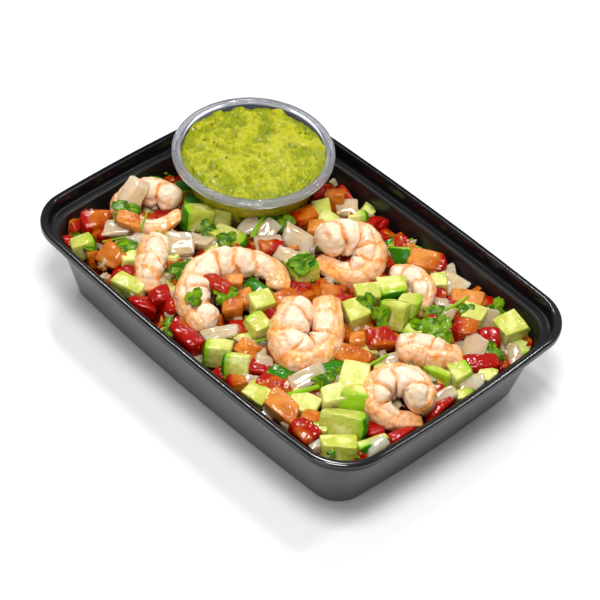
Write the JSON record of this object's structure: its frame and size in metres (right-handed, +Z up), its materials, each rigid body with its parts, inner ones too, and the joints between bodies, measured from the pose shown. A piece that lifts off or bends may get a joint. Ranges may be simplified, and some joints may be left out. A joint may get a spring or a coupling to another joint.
{
  "type": "shrimp ceviche",
  "caption": "Shrimp ceviche in a black meal tray: diced cucumber, tomato and onion with cilantro, curled peeled shrimps on top, and a clear cup of guacamole in a corner.",
  "frame": {"origin": "middle of the tray's underside, on the surface that it stands on", "axes": "+Z up, X along the tray's long side, Y across it, with the cup in the corner at -X and +Y"},
  "size_m": [0.222, 0.1568, 0.0598],
  "materials": {
    "tray_black": "smooth black moulded plastic with a soft gloss",
    "cup_clear": "clear thin plastic",
    "guacamole": "moist lumpy mash",
    "salad_mix": "wet diced vegetables in juice",
    "shrimp": "wet cooked flesh, white to orange",
    "cucumber": "wet pale flesh with a dark green skin",
    "tomato": "wet red skin and orange-pink flesh",
    "onion": "wet translucent petals",
    "cilantro": "thin green leaves and stems"
  },
  "bodies": {
    "root": {"container": "tray_black", "dip_cup": "cup_clear", "guacamole": "guacamole", "salad": "salad_mix", "shrimp_1": "shrimp", "shrimp_2": "shrimp", "shrimp_3": "shrimp", "shrimp_4": "shrimp", "shrimp_5": "shrimp", "shrimp_6": "shrimp", "shrimp_7": "shrimp", "shrimp_8": "shrimp"}
  },
  "joints": []
}
